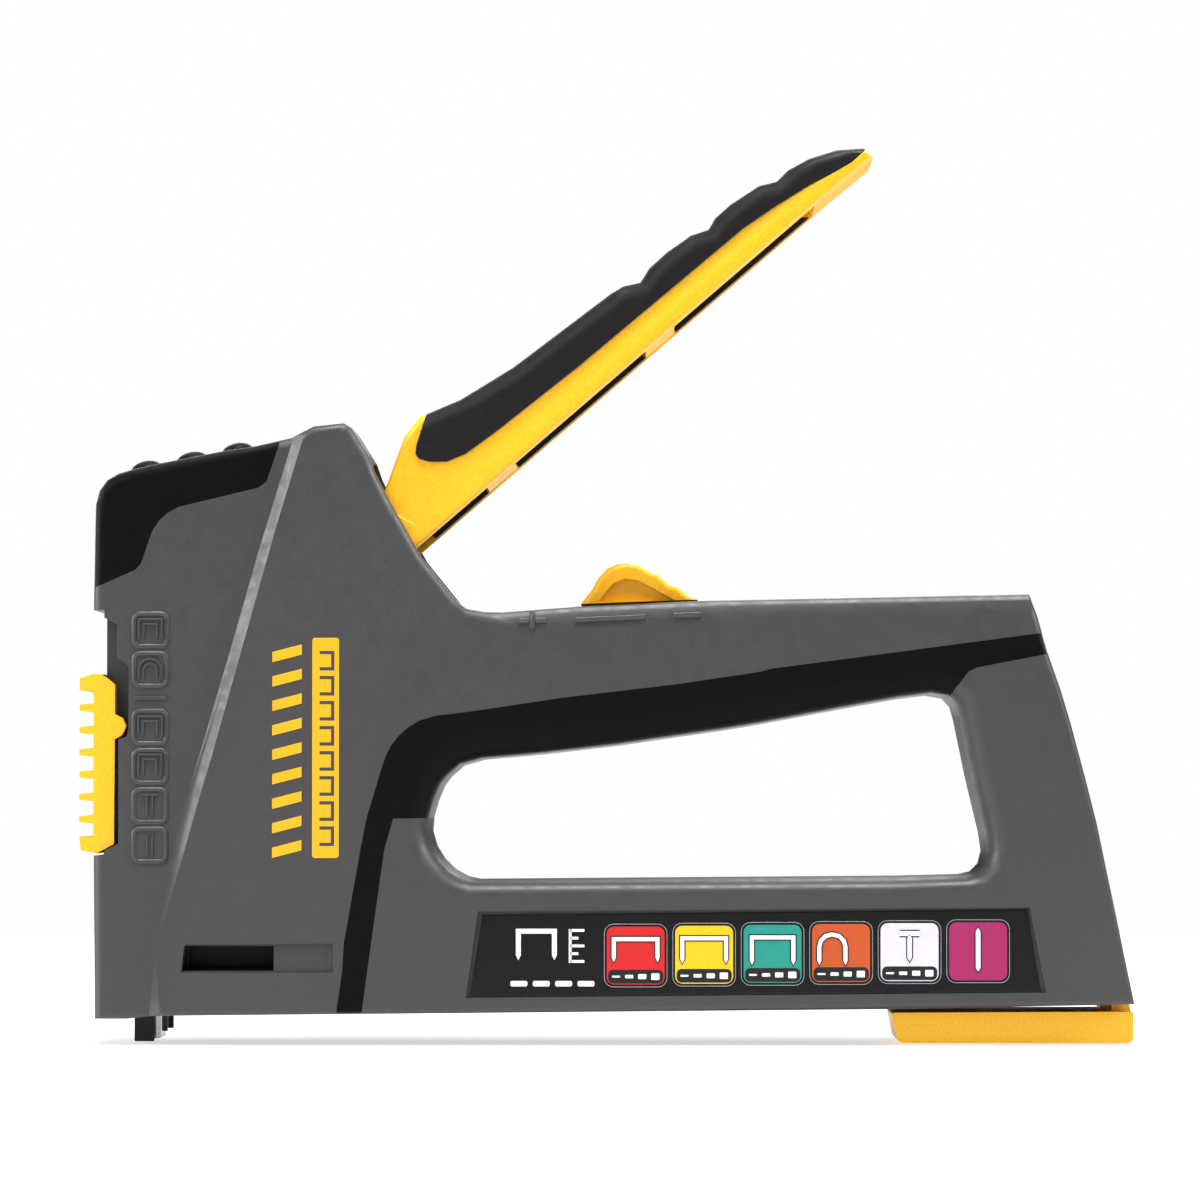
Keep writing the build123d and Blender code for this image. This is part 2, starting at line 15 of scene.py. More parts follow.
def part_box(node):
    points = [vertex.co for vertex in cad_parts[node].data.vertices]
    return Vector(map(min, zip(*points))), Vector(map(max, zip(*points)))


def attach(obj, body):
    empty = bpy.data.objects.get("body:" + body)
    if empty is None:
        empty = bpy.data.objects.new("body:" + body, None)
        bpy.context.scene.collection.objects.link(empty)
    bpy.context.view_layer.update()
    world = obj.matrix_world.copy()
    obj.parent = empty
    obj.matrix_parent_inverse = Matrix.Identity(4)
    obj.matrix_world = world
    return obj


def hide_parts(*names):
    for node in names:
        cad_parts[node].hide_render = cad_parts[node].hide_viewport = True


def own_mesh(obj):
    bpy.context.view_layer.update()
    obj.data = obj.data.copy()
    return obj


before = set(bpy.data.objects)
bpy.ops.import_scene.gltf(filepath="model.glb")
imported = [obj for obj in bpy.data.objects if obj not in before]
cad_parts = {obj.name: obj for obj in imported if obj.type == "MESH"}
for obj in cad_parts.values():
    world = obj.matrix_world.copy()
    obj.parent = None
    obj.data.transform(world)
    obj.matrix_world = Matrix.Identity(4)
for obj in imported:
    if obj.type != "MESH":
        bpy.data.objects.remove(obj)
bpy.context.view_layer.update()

MM = 0.001

# %% [markdown]
# ## Camera
# The tool is looked at square on from its left side. The camera stands a metre away, a little below the
# middle, so the near rim of the lever covers the far one but for a thin line. A short lens close by would
# bend the outline, so a long one is used from further off.

# %% Camera
def new_object(name, data):
    """An object that is in the scene."""
    made = bpy.data.objects.new(name, data)
    bpy.context.scene.collection.objects.link(made)
    return made


camera = new_object("camera", bpy.data.cameras.new("camera"))
bpy.context.scene.camera = camera
camera_place = Vector((9.3, -1000.0, 45.8)) * MM
camera_aim = Vector((-1.2, 0.0, 81.9)) * MM
sight = camera_aim - camera_place
camera.location = camera_place
camera.rotation_euler = sight.to_track_quat("-Z", "Y").to_euler()
camera.data.sensor_width = 36.0
camera.data.lens = 160.9
camera.data.clip_end = 20.0
print("camera looks up by", round(math.degrees(math.atan2(sight.z, sight.y)), 1), "degrees")

# %% [markdown]
# ## Small helpers
# Colours are written as the hex values that people read off a swatch. Shaders count in linear light, so
# one function converts them. Another adds any node with its settings, values and links, because a node
# tree written out call by call would bury what it does. It serves shaders and Geometry Nodes alike.

# %% Colour and node helpers
def linear(code):
    """Linear RGBA of an sRGB hex colour."""
    parts = [int(code[i:i + 2], 16) / 255 for i in (1, 3, 5)]
    return [p / 12.92 if p <= 0.04045 else ((p + 0.055) / 1.055) ** 2.4 for p in parts] + [1.0]


def add(tree, kind, values=None, **settings):
    """Add one node. A value that is a socket is linked, any other is set on the input."""
    made = tree.nodes.new(kind)
    for name, value in settings.items():
        setattr(made, name, value)
    for name, value in (values or {}).items():
        if isinstance(value, bpy.types.NodeSocket):
            tree.links.new(value, made.inputs[name])
        else:
            made.inputs[name].default_value = value
    return made


def new_material(name):
    """An empty node material with its output."""
    material = bpy.data.materials.new(name)
    material.use_nodes = True
    material.node_tree.nodes.clear()
    return material, material.node_tree


print("mid grey in linear light:", [round(v, 3) for v in linear("#808080")])

# %% [markdown]
# ## Moulded plastics and rubbers
# The body is glass-filled nylon, moulded in a tool with a fine spark-eroded surface. That texture is about
# 0.3 mm across and breaks the highlight into a satin. The yellow parts come from a smoother tool, and the
# soft parts are a thermoplastic rubber moulded over the nylon, duller still. All of them share one recipe:
# a grain that bumps the surface, a slow drift of tone over a few centimetres, and fine scuffs that make
# the roughness uneven. Only the numbers change from one to the next.

# %% Recipe for moulded parts
def moulded(name, colour, second, roughness, grain_mm, depth_mm, sheen=0.0, ior=1.5):
    """Moulded plastic or rubber. grain_mm is the size of the tool texture, depth_mm its depth."""
    material, tree = new_material(name)
    place = add(tree, "ShaderNodeTexCoord").outputs["Object"]
    drift = add(tree, "ShaderNodeTexNoise", {"Vector": place, "Scale": 1 / (30 * MM), "Detail": 2.0})
    grain = add(tree, "ShaderNodeTexNoise", {
        "Vector": place, "Scale": 1 / (grain_mm * MM), "Detail": 3.0})
    scuff = add(tree, "ShaderNodeTexNoise", {"Vector": place, "Scale": 1 / (2.5 * MM), "Detail": 6.0})
    # The colour sockets of a Mix node are its seventh and eighth inputs and its third output.
    tone = add(tree, "ShaderNodeMix", {
        "Factor": drift.outputs["Fac"], 6: linear(colour), 7: linear(second)}, data_type="RGBA")
    speckle = add(tree, "ShaderNodeMapRange", {
        "Value": grain.outputs["Fac"], "From Min": 0.3, "From Max": 0.7, "To Min": 0.90, "To Max": 1.10})
    shade = add(tree, "ShaderNodeVectorMath", {0: tone.outputs[2], 1: speckle.outputs[0]},
                operation="MULTIPLY")
    rough = add(tree, "ShaderNodeMapRange", {
        "Value": scuff.outputs["Fac"], "From Min": 0.35, "From Max": 0.75,
        "To Min": roughness - 0.05, "To Max": roughness + 0.10})
    bump = add(tree, "ShaderNodeBump", {
        "Height": grain.outputs["Fac"], "Distance": depth_mm * MM, "Strength": 1.0})
    shader = add(tree, "ShaderNodeBsdfPrincipled", {
        "Base Color": shade.outputs[0], "Roughness": rough.outputs[0], "IOR": ior,
        "Sheen Weight": sheen, "Sheen Roughness": 0.35, "Normal": bump.outputs[0]})
    add(tree, "ShaderNodeOutputMaterial", {"Surface": shader.outputs[0]})
    return material


print("grain on the body repeats", round(1 / 0.35, 1), "times in a millimetre")

# %% [markdown]
# The numbers start from typical ones for each plastic: nylon reflects with an IOR of about 1.5 and is
# neither glossy nor chalky. The rubbers get a lower IOR, which keeps their faces deep black, and a sheen,
# which is the soft light that a rubber's edge shows when it is seen almost along the surface.

# %% Plastics and rubbers
# Glass-filled nylon, moulded and grained: a satin grey, slightly uneven, like most tool housings.
body_nylon = moulded("spark_grained_nylon", "#39383A", "#3F3E40", 0.46, 0.35, 0.020)
# Thermoplastic rubber moulded over the body: dull black that lights up softly at its edges.
grip_rubber = moulded("moulded_rubber_black", "#070707", "#0B0B0B", 0.42, 0.45, 0.012, 0.45, 1.15)
# The lever's pad is a little paler, as hands polish and grey it.
pad_rubber = moulded("moulded_rubber_charcoal", "#191718", "#201E1F", 0.42, 0.45, 0.012, 0.30, 1.25)
# Unfilled nylon from a smooth tool: a saturated warm yellow with a soft gloss.
lever_nylon = moulded("glossy_nylon_yellow", "#FDB912", "#FFC01C", 0.40, 0.50, 0.008)
# The knob's batch of nylon is a shade deeper, so it stands apart from the lever.
knob_nylon = moulded("glossy_nylon_deep_yellow", "#F0AA0C", "#F6B414", 0.38, 0.50, 0.008)
# Cast polyurethane for the buffer: matt, with a coarse skin.
buffer_rubber = moulded("cast_buffer_rubber", "#202020", "#282828", 0.70, 0.60, 0.030)
# Printed polyester film on the label: almost flat, darker and smoother than the body round it.
label_film = moulded("printed_film_black", "#050506", "#080809", 0.30, 0.60, 0.001, ior=1.35)
print("moulded finishes:", [material.name for material in bpy.data.materials if material.use_nodes])

# %% [markdown]
# ## Steels
# Inside and at the tip the tool is steel: blackened sheet for the nose and the channel, ground steel for
# the blade and pins, zinc on the screws. Rolling and grinding leave fine lines along the part. Real ones
# are a few hundredths of a millimetre apart, too fine to show, so these are drawn 0.15 mm apart. They are
# long in X, because that stretches the highlight along the part as on the real one.

# %% Recipe for steels
def steel(name, colour, roughness, metallic=1.0, line_mm=0.15):
    """Rolled or ground steel with fine lines along X."""
    material, tree = new_material(name)
    place = add(tree, "ShaderNodeTexCoord").outputs["Object"]
    along = add(tree, "ShaderNodeMapping", {"Vector": place, "Scale": (0.04, 1.0, 1.0)})
    lines = add(tree, "ShaderNodeTexNoise", {
        "Vector": along.outputs[0], "Scale": 1 / (line_mm * MM), "Detail": 2.0})
    # Oil and handling leave patches about 6 mm across, which dull the shine unevenly.
    cloud = add(tree, "ShaderNodeTexNoise", {"Vector": place, "Scale": 1 / (6 * MM), "Detail": 4.0})
    rough = add(tree, "ShaderNodeMapRange", {
        "Value": cloud.outputs["Fac"], "To Min": roughness - 0.08, "To Max": roughness + 0.12})
    tint = add(tree, "ShaderNodeMapRange", {
        "Value": lines.outputs["Fac"], "From Min": 0.3, "From Max": 0.7, "To Min": 0.85, "To Max": 1.1})
    shade = add(tree, "ShaderNodeVectorMath", {0: linear(colour)[:3], 1: tint.outputs[0]},
                operation="MULTIPLY")
    bump = add(tree, "ShaderNodeBump", {
        "Height": lines.outputs["Fac"], "Distance": 0.004 * MM, "Strength": 1.0})
    shader = add(tree, "ShaderNodeBsdfPrincipled", {
        "Base Color": shade.outputs[0], "Metallic": metallic, "Roughness": rough.outputs[0],
        "Normal": bump.outputs[0]})
    add(tree, "ShaderNodeOutputMaterial", {"Surface": shader.outputs[0]})
    return material


# Blackened and oiled sheet: an oxide skin that is only partly a metal to the eye, so it stays dark.
blackened_steel = steel("blackened_sheet_steel", "#1A1A1B", 0.42, metallic=0.6)
# Ground tool steel: bright, with a tight highlight.
ground_steel = steel("ground_steel", "#A9ACB0", 0.28)
# Bright zinc plating: a little whiter and softer than the ground steel.
zinc_steel = steel("zinc_plated_steel", "#B8BABC", 0.32)
# Cold-drawn wire: greyer, with finer lines from the drawing die.
spring_steel = steel("drawn_spring_wire", "#8C8E92", 0.30, line_mm=0.1)
print("steels:", [blackened_steel.name, ground_steel.name, zinc_steel.name, spring_steel.name])

# %% [markdown]
# ## Printing inks
# Labels are screen printed: flat ink about 0.02 mm thick with a slightly mottled edge-to-edge tone. The
# mottling is drawn at half a millimetre so that it can be seen at all.

# %% Recipe for inks
def ink(name, colour, roughness=0.4):
    """Screen-printed ink on film or plastic."""
    material, tree = new_material(name)
    place = add(tree, "ShaderNodeTexCoord").outputs["Object"]
    mottle = add(tree, "ShaderNodeTexNoise", {
        "Vector": place, "Scale": 1 / (0.5 * MM), "Detail": 3.0})
    tint = add(tree, "ShaderNodeMapRange", {
        "Value": mottle.outputs["Fac"], "From Min": 0.3, "From Max": 0.7, "To Min": 0.94, "To Max": 1.04})
    shade = add(tree, "ShaderNodeVectorMath", {0: linear(colour)[:3], 1: tint.outputs[0]},
                operation="MULTIPLY")
    shader = add(tree, "ShaderNodeBsdfPrincipled", {
        "Base Color": shade.outputs[0], "Roughness": roughness, "IOR": 1.48})
    add(tree, "ShaderNodeOutputMaterial", {"Surface": shader.outputs[0]})
    return material


# White for the pictograms, black for their edges and strips: they carry the drawing.
white_ink = ink("ink_white", "#F2F2EE")
black_ink = ink("ink_black", "#0A0A0A")
# Grey frames part the tiles from the film without shouting.
grey_ink = ink("ink_grey", "#9A9A9C")
# The panel's yellow is meant to match the lever's plastic.
yellow_ink = ink("ink_yellow", "#F4B30C")
# One strong colour for each kind of fastener, so that a box of them can be matched at a glance.
tile_inks = [
    ink("ink_red", "#D0161B"), ink("ink_golden", "#F5C400"), ink("ink_teal", "#1B9384"),
    ink("ink_orange", "#C4501A"), ink("ink_lavender", "#DCD8EC"), ink("ink_magenta", "#A2185E"),
]
print("inks:", 4 + len(tile_inks))

# %% [markdown]
# ## Finish every CAD part
# A CAD solid arrives as loose triangles with razor edges. No real moulding or pressing has those: the
# tool maker leaves a radius, and its thin highlight is what tells the eye that the part is solid. A Weld
# joins the triangles, a planar Decimate turns them back into whole faces, a Bevel rounds the edges, and a
# small node tree shades everything smooth but for what is still sharp. The faces of a part stay where CAD
# put them, because only modifiers are added.

# %% Smooth shading as a node tree
def smooth_tree(limit):
    """Geometry Nodes: shade smooth, with edges above the limit kept sharp."""
    tree = bpy.data.node_groups.new("smooth_by_angle", "GeometryNodeTree")
    tree.interface.new_socket("Geometry", in_out="INPUT", socket_type="NodeSocketGeometry")
    tree.interface.new_socket("Geometry", in_out="OUTPUT", socket_type="NodeSocketGeometry")
    start = add(tree, "NodeGroupInput")
    angle = add(tree, "GeometryNodeInputMeshEdgeAngle")
    sharp = add(tree, "FunctionNodeCompare", {"A": angle.outputs[0], "B": math.radians(limit)},
                operation="GREATER_THAN")
    faces = add(tree, "GeometryNodeSetShadeSmooth", {"Geometry": start.outputs[0]}, domain="FACE")
    edges = add(tree, "GeometryNodeSetShadeSmooth", {
        "Geometry": faces.outputs[0], "Selection": sharp.outputs[0], "Shade Smooth": False}, domain="EDGE")
    add(tree, "NodeGroupOutput", {"Geometry": edges.outputs[0]})
    return tree


smooth = smooth_tree(35)
print("tree", smooth.name, "has", len(smooth.nodes), "nodes")

# %% Which finish and edge radius each part has
# The edge radius is in millimetres. Wire has none, because it is round already.
FINISHES = {
    "left_shell": (body_nylon, 0.30), "right_shell": (body_nylon, 0.30),
    "left_grip_inlay": (grip_rubber, 0.22), "right_grip_inlay": (grip_rubber, 0.22),
    "left_nose_pad": (grip_rubber, 0.25), "right_nose_pad": (grip_rubber, 0.25),
    "left_label_plate": (label_film, 0.10), "right_label_plate": (label_film, 0.10),
    "lever_shell": (lever_nylon, 0.30), "lever_grip": (pad_rubber, 0.30),
    "adjuster_knob": (knob_nylon, 0.5), "adjuster_seat": (blackened_steel, 0.3),
    "selector_slide": (lever_nylon, 0.25), "selector_gate": (ground_steel, 0.1),
    "magazine_pull": (lever_nylon, 0.5), "magazine_channel": (blackened_steel, 0.15),
    "nose_plate": (blackened_steel, 0.3), "lever_core": (blackened_steel, 0.2),
    "hammer_block": (blackened_steel, 0.3), "driver_blade": (ground_steel, 0.1),
    "hammer_bumper": (buffer_rubber, 0.5), "body_screws": (zinc_steel, 0.15),
    "lever_pin": (ground_steel, 0.3), "arm_pin": (ground_steel, 0.3),
    "lift_roller": (ground_steel, 0.3), "impact_arm": (ground_steel, 0.3),
    "spring_cup": (ground_steel, 0.2), "feed_rail": (blackened_steel, 0.1),
    "rail_rod": (ground_steel, 0.1), "pusher": (blackened_steel, 0.2),
    "return_spring": (spring_steel, 0.0), "main_spring": (spring_steel, 0.0),
    "pusher_spring": (spring_steel, 0.0),
}
print("parts without a finish:", sorted(set(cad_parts) - set(FINISHES)))

# %% Round the edges and give the finish
def finish_part(node, material, radius_mm):
    """Give a CAD part its material and live modifiers that round its edges."""
    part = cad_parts[node]
    part.data.materials.clear()
    part.data.materials.append(material)
    part.modifiers.new("weld", "WELD").merge_threshold = 0.002 * MM
    if radius_mm:
        flat = part.modifiers.new("whole faces", "DECIMATE")
        flat.decimate_type = "DISSOLVE"
        flat.angle_limit = math.radians(0.6)      # under any real bend between two facets
        edge = part.modifiers.new("edge radius", "BEVEL")
        edge.width = radius_mm * MM
        edge.segments = 2
        edge.limit_method = "ANGLE"
        edge.angle_limit = math.radians(38)       # over the bend between facets of one rounding
        edge.miter_outer = "MITER_ARC"
    part.modifiers.new("smooth", "NODES").node_group = smooth
    if radius_mm:
        part.modifiers.new("flat faces stay flat", "WEIGHTED_NORMAL").keep_sharp = True


for node, (material, radius_mm) in FINISHES.items():
    finish_part(node, material, radius_mm)
print("finished", len(FINISHES), "of", len(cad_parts), "CAD parts")

# %% [markdown]
# ## Marks on the sides
# Everything printed or raised on the sides is a flat shape that lies on a surface: an outline in X and Z,
# carried to the side along Y. The surface is found by a ray, and the mark rises along the surface's own
# normal, so one on the rounded shoulder of the grip follows it. Each mark is a thin closed solid that
# starts just under the surface. The right side gets the same marks, turned over.

# %% Find the surface
def surface_of(node):
    """Function that gives the point and normal of a part's left face at (x, z) in millimetres."""
    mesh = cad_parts[node].data
    tree = BVHTree.FromPolygons([v.co for v in mesh.vertices], [p.vertices for p in mesh.polygons])

    def face_at(x, z):
        place, normal = tree.ray_cast(Vector((x, -60.0, z)) * MM, Vector((0, 1, 0)))[:2]
        return place / MM, normal if normal.y < 0 else -normal
    return face_at


shell_face = surface_of("left_shell")
label_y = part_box("left_label_plate")[0].y / MM
print("the label lies at y =", round(label_y, 2), "mm,",
      "the body's side at", round(shell_face(20, 70)[0].y, 2))

# %% Make marks
SUNK = -0.04     # every mark starts this far under the surface, in millimetres


def marks(name, outlines, surface, lift, material, edge=0.0):
    """Thin solids on both sides, one for each outline of (x, z) points in millimetres.

    surface gives the point and normal at (x, z), lift is the height above it in millimetres."""
    bm = bmesh.new()
    for outline in outlines:
        for side in (1, -1):
            ring = outline[::-1] if side > 0 else outline
            low, high = [], []
            for x, z in ring:
                place, normal = surface(x, z)
                for level, height in ((low, SUNK), (high, lift)):
                    point = place + normal * height
                    level.append(bm.verts.new(Vector((point.x, side * point.y, point.z)) * MM))
            bm.faces.new(high)
            bm.faces.new(low[::-1])
            for i in range(len(ring)):
                bm.faces.new((low[i - 1], low[i], high[i], high[i - 1]))
    bmesh.ops.recalc_face_normals(bm, faces=bm.faces)
    mesh = bpy.data.meshes.new(name)
    bm.to_mesh(mesh)
    bm.free()
    mesh.materials.append(material)
    piece = new_object(name, mesh)
    if edge:
        radius = piece.modifiers.new("edge radius", "BEVEL")
        radius.width, radius.segments, radius.limit_method = edge * MM, 2, "ANGLE"
    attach(piece, "root")
    print(name, "has", len(outlines), "outlines on each side")


# %% [markdown]
# ## Outlines
# Pictograms are drawn with a pen of one width, so the first helper turns a path into the outline of such
# a line, with pointed ends for the tips of staples and nails. A curve object with a bevel could do it,
# but its ends can't be pointed. Two more helpers give the rounded rectangle and the path of a staple.

# %% Line with a width
def stroke(points, width, tip=0.0):
    """Outline of a line of the given width through the points, with pointed ends if tip is set."""
    left, right = [], []
    for i, (x, z) in enumerate(points):
        a, b = points[max(i - 1, 0)], points[min(i + 1, len(points) - 1)]
        before, after = Vector((x - a[0], z - a[1])), Vector((b[0] - x, b[1] - z))
        before = (before if before.length else after).normalized()
        after = (after if after.length else before).normalized()
        across = Vector((-before.y - after.y, before.x + after.x)).normalized()
        reach = width / 2 / max(0.4, across.dot(Vector((-before.y, before.x))))
        left.append((x + across.x * reach, z + across.y * reach))
        right.append((x - across.x * reach, z - across.y * reach))
    start, end = [], []
    if tip:
        (x0, z0), (x1, z1) = points[0], points[1]
        away = (Vector((x0 - x1, z0 - z1))).normalized() * tip
        start = [(x0 + away.x, z0 + away.y)]
        (x0, z0), (x1, z1) = points[-1], points[-2]
        away = (Vector((x0 - x1, z0 - z1))).normalized() * tip
        end = [(x0 + away.x, z0 + away.y)]
    return left + end + right[::-1] + start


print("a straight line has an outline of", len(stroke([(0, 0), (0, 5)], 0.8)), "points")

# %% Rounded rectangle and staple
def rounded(x, z, width, height, radius, steps=5):
    """Rounded rectangle about a centre."""
    points = []
    for corner, (sx, sz) in enumerate(((1, 1), (-1, 1), (-1, -1), (1, -1))):
        for i in range(steps):
            a = math.radians(90 * corner + 90 * i / (steps - 1))
            points.append((x + sx * (width / 2 - radius) + radius * math.cos(a),
                           z + sz * (height / 2 - radius) + radius * math.sin(a)))
    return points


def arch(x, z, width, leg, bend=0.0):
    """Path of a staple from leg to leg, with its back at height z. bend rounds the shoulders."""
    half = width / 2
    path = [(x - half, z - leg)]
    if bend:
        for i in range(7):
            a = math.radians(180 - 30 * i)
            shoulder = x - half + bend if i < 4 else x + half - bend
            path.append((shoulder + bend * math.cos(a), z - bend + bend * math.sin(a)))
    else:
        path += [(x - half, z), (x + half, z)]
    return path + [(x + half, z - leg)]


print("a staple 8 mm wide has an outline of", len(stroke(arch(0, 0, 8, 3), 0.8, 0.6)), "points")

# %% [markdown]
# ## Label
# The label is a dark film in a shallow recess. It shows which fasteners the tool takes: six coloured
# tiles in a row, each with the outline of a staple or nail. The tiles are printed in layers, so each
# layer stands a few hundredths of a millimetre higher than the one below.

# %% Tiles
TILE = 10.6            # side of a tile
PITCH = 12.54          # from one tile to the next
RISE = 0.16            # the row climbs a little towards the rear, as the label does
label_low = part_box("left_label_plate")[0] / MM
tiles = [(label_low.x + 30.4 + i * PITCH, label_low.z + 7.35 + i * RISE) for i in range(6)]
strip_z = 1.45 - TILE / 2


def on_label(x, z):
    return Vector((x, label_y, z)), Vector((0, -1, 0))


for (x, z), tile_ink in zip(tiles, tile_inks):
    marks("tile_" + tile_ink.name[4:], [rounded(x, z, TILE, TILE, 1.3)], on_label, 0.05, tile_ink)
strips = [rounded(x, z + strip_z, TILE - 0.5, 2.5, 0.9) for x, z in tiles[:5]]
marks("tile_strips", strips, on_label, 0.08, black_ink)
print("tiles at x =", [round(x, 1) for x, z in tiles])

# %% [markdown]
# The tiles show three flat staples, a round one for cables, a nail with a head and a headless one. Each
# is a white line on a wider black one, so that it reads on any of the colours.

# %% Pictograms
red, golden, teal, orange, lavender, magenta = (Vector(tile) for tile in tiles)
fasteners = [     # path, width of the line, length of its points
    (arch(red.x, red.y + 3.0, 8.0, 3.4), 0.75, 0.8),
    (arch(golden.x, golden.y + 3.0, 8.0, 3.8), 0.75, 0.8),
    (arch(teal.x, teal.y + 3.0, 7.6, 4.2), 0.75, 0.8),
    (arch(orange.x - 1.6, orange.y + 3.4, 4.8, 4.8, 2.3), 0.75, 0.8),
    ([(lavender.x - 1.8, lavender.y + 3.4), (lavender.x + 1.8, lavender.y + 3.4)], 0.9, 0.0),
    ([(lavender.x, lavender.y + 2.6), (lavender.x, lavender.y - 1.0)], 0.8, 0.7),
    ([(magenta.x, magenta.y + 3.6), (magenta.x, magenta.y - 3.0)], 0.85, 0.7),
]
marks("pictogram_edges", [stroke(path, width + 0.45, tip and tip + 0.35) for path, width, tip in fasteners],
      on_label, 0.11, black_ink)
marks("pictograms", [stroke(*fastener) for fastener in fasteners], on_label, 0.14, white_ink)

# %% [markdown]
# Under each pictogram a label of this kind gives sizes. Here the strip holds a plain scale of four bars,
# thicker for a longer staple. The field in front of the tiles holds a staple beside a ruler, which says
# what the row is about without any words.

# %% Scale bars
bars = []
for x, z in tiles[:5]:
    for k in range(4):
        bars.append(rounded(x - 3.6 + 2.4 * k, z + strip_z, 1.5, 0.35 + 0.28 * k, 0.15, 3))
field_x, field_z = label_low.x + 14.8, label_low.z + 8.6
bars.append(stroke(arch(field_x - 2.6, field_z + 3.2, 6.6, 4.4), 0.9, 0.9))
bars.append(stroke([(field_x + 3.6, field_z + 3.6), (field_x + 3.6, field_z - 2.6)], 0.5))
for k in range(5):
    length = 2.6 if k % 2 == 0 else 1.5
    height = field_z + 3.35 - 1.42 * k
    bars.append(stroke([(field_x + 3.6, height), (field_x + 3.6 + length, height)], 0.5))
for k in range(4):
    bars.append(rounded(field_x - 5.8 + 4.1 * k, label_low.z + 2.2, 3.1, 1.0, 0.3, 3))
marks("scale_bars", bars, on_label, 0.12, white_ink)

# %% [markdown]
# The thin light frames round the tiles are all the same rounded square, so Geometry Nodes repeat it
# along a line. The same tree makes the raised squares at the front of the body, which tell the selector
# positions apart. Its inputs are the count, the first place, the step, and the sizes of the frame.

# %% A tree that repeats a rounded frame
def frame_row_tree(material):
    """Rounded square frames in a row, facing -Y."""
    tree = bpy.data.node_groups.new("frame_row", "GeometryNodeTree")
    face = tree.interface
    face.new_socket("Count", in_out="INPUT", socket_type="NodeSocketInt")
    for name in ("First", "Step"):
        face.new_socket(name, in_out="INPUT", socket_type="NodeSocketVector")
    for name in ("Width", "Height", "Corner", "Line", "Thickness"):
        face.new_socket(name, in_out="INPUT", socket_type="NodeSocketFloat")
    face.new_socket("Geometry", in_out="OUTPUT", socket_type="NodeSocketGeometry")
    size = add(tree, "NodeGroupInput").outputs
    row = add(tree, "GeometryNodeMeshLine", {
        "Count": size["Count"], "Start Location": size["First"], "Offset": size["Step"]})
    square = add(tree, "GeometryNodeCurvePrimitiveQuadrilateral", {
        "Width": size["Width"], "Height": size["Height"]})
    round_square = add(tree, "GeometryNodeFilletCurve", {
        "Curve": square.outputs[0], "Count": 5, "Radius": size["Corner"]}, mode="POLY")
    upright = add(tree, "GeometryNodeTransform", {
        "Geometry": round_square.outputs[0], "Rotation": (math.radians(90), 0, 0)})
    section = add(tree, "GeometryNodeCurvePrimitiveQuadrilateral", {
        "Width": size["Line"], "Height": size["Thickness"]})
    solid = add(tree, "GeometryNodeCurveToMesh", {
        "Curve": upright.outputs[0], "Profile Curve": section.outputs[0]})
    copies = add(tree, "GeometryNodeInstanceOnPoints", {
        "Points": row.outputs[0], "Instance": solid.outputs[0]})
    real = add(tree, "GeometryNodeRealizeInstances", {"Geometry": copies.outputs[0]})
    done = add(tree, "GeometryNodeSetMaterial", {"Geometry": real.outputs[0], "Material": material})
    add(tree, "NodeGroupOutput", {"Geometry": done.outputs[0]})
    return tree


print("a tile's frame will be", round(TILE + 0.9, 1), "mm wide over its middle line")

# %% [markdown]
# A tree runs as a modifier on an empty carrier object. The modifier keeps each input under an identifier
# of its own, which is looked up from the name. The result is then copied to a plain mesh and the carrier
# is thrown away, so that nothing live is left on the piece.

# %% Grow a piece from a tree
def grow(name, tree, inputs):
    """Run a tree once and keep its result as a plain mesh object."""
    carrier = new_object(name + "_carrier", bpy.data.meshes.new(name + "_carrier"))
    modifier = carrier.modifiers.new("tree", "NODES")
    modifier.node_group = tree
    for socket in tree.interface.items_tree:
        if socket.in_out == "INPUT" and socket.name in inputs:
            modifier[socket.identifier] = inputs[socket.name]
    evaluated = carrier.evaluated_get(bpy.context.evaluated_depsgraph_get())
    mesh = bpy.data.meshes.new_from_object(evaluated)
    bpy.data.objects.remove(carrier)
    mesh.name = name
    return new_object(name, mesh)


# %% [markdown]
# A mirror image is a turned-over mesh, whose faces look inwards until their normals are worked out again.
# So the frames are doubled in the mesh itself rather than by a negative scale.

# %% Frames on both sides
def both_sides(piece):
    """Add the mirror image across the middle plane, with its faces still pointing out."""
    bm = bmesh.new()
    bm.from_mesh(piece.data)
    twin = bmesh.ops.duplicate(bm, geom=bm.verts[:] + bm.edges[:] + bm.faces[:])["geom"]
    for vert in (g for g in twin if isinstance(g, bmesh.types.BMVert)):
        vert.co.y = -vert.co.y
    bmesh.ops.recalc_face_normals(bm, faces=bm.faces)
    bm.to_mesh(piece.data)
    bm.free()
    return piece


def frame_row(name, material, count, first, step, width, height, corner, line, thickness):
    """Frames on both sides, sizes in millimetres."""
    piece = both_sides(grow(name, frame_row_tree(material), {
        "Count": count, "First": [v * MM for v in first], "Step": [v * MM for v in step],
        "Width": width * MM, "Height": height * MM, "Corner": corner * MM, "Line": line * MM,
        "Thickness": thickness * MM}))
    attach(piece, "root")
    print(name, "has", len(piece.data.polygons), "faces")


# %% [markdown]
# The tiles' frames are a hair of ink. The selector's frames are moulded with the body and stand up by
# 0.42 mm, so their section is twice that deep and half of it is under the surface.

# %% Frames of the tiles and of the selector symbols
frame_row("tile_frames", grey_ink, 6, (tiles[0][0], label_y, tiles[0][1]), (PITCH, 0, RISE),
          width=TILE + 0.9, height=TILE + 0.9, corner=1.7, line=0.22, thickness=0.10)

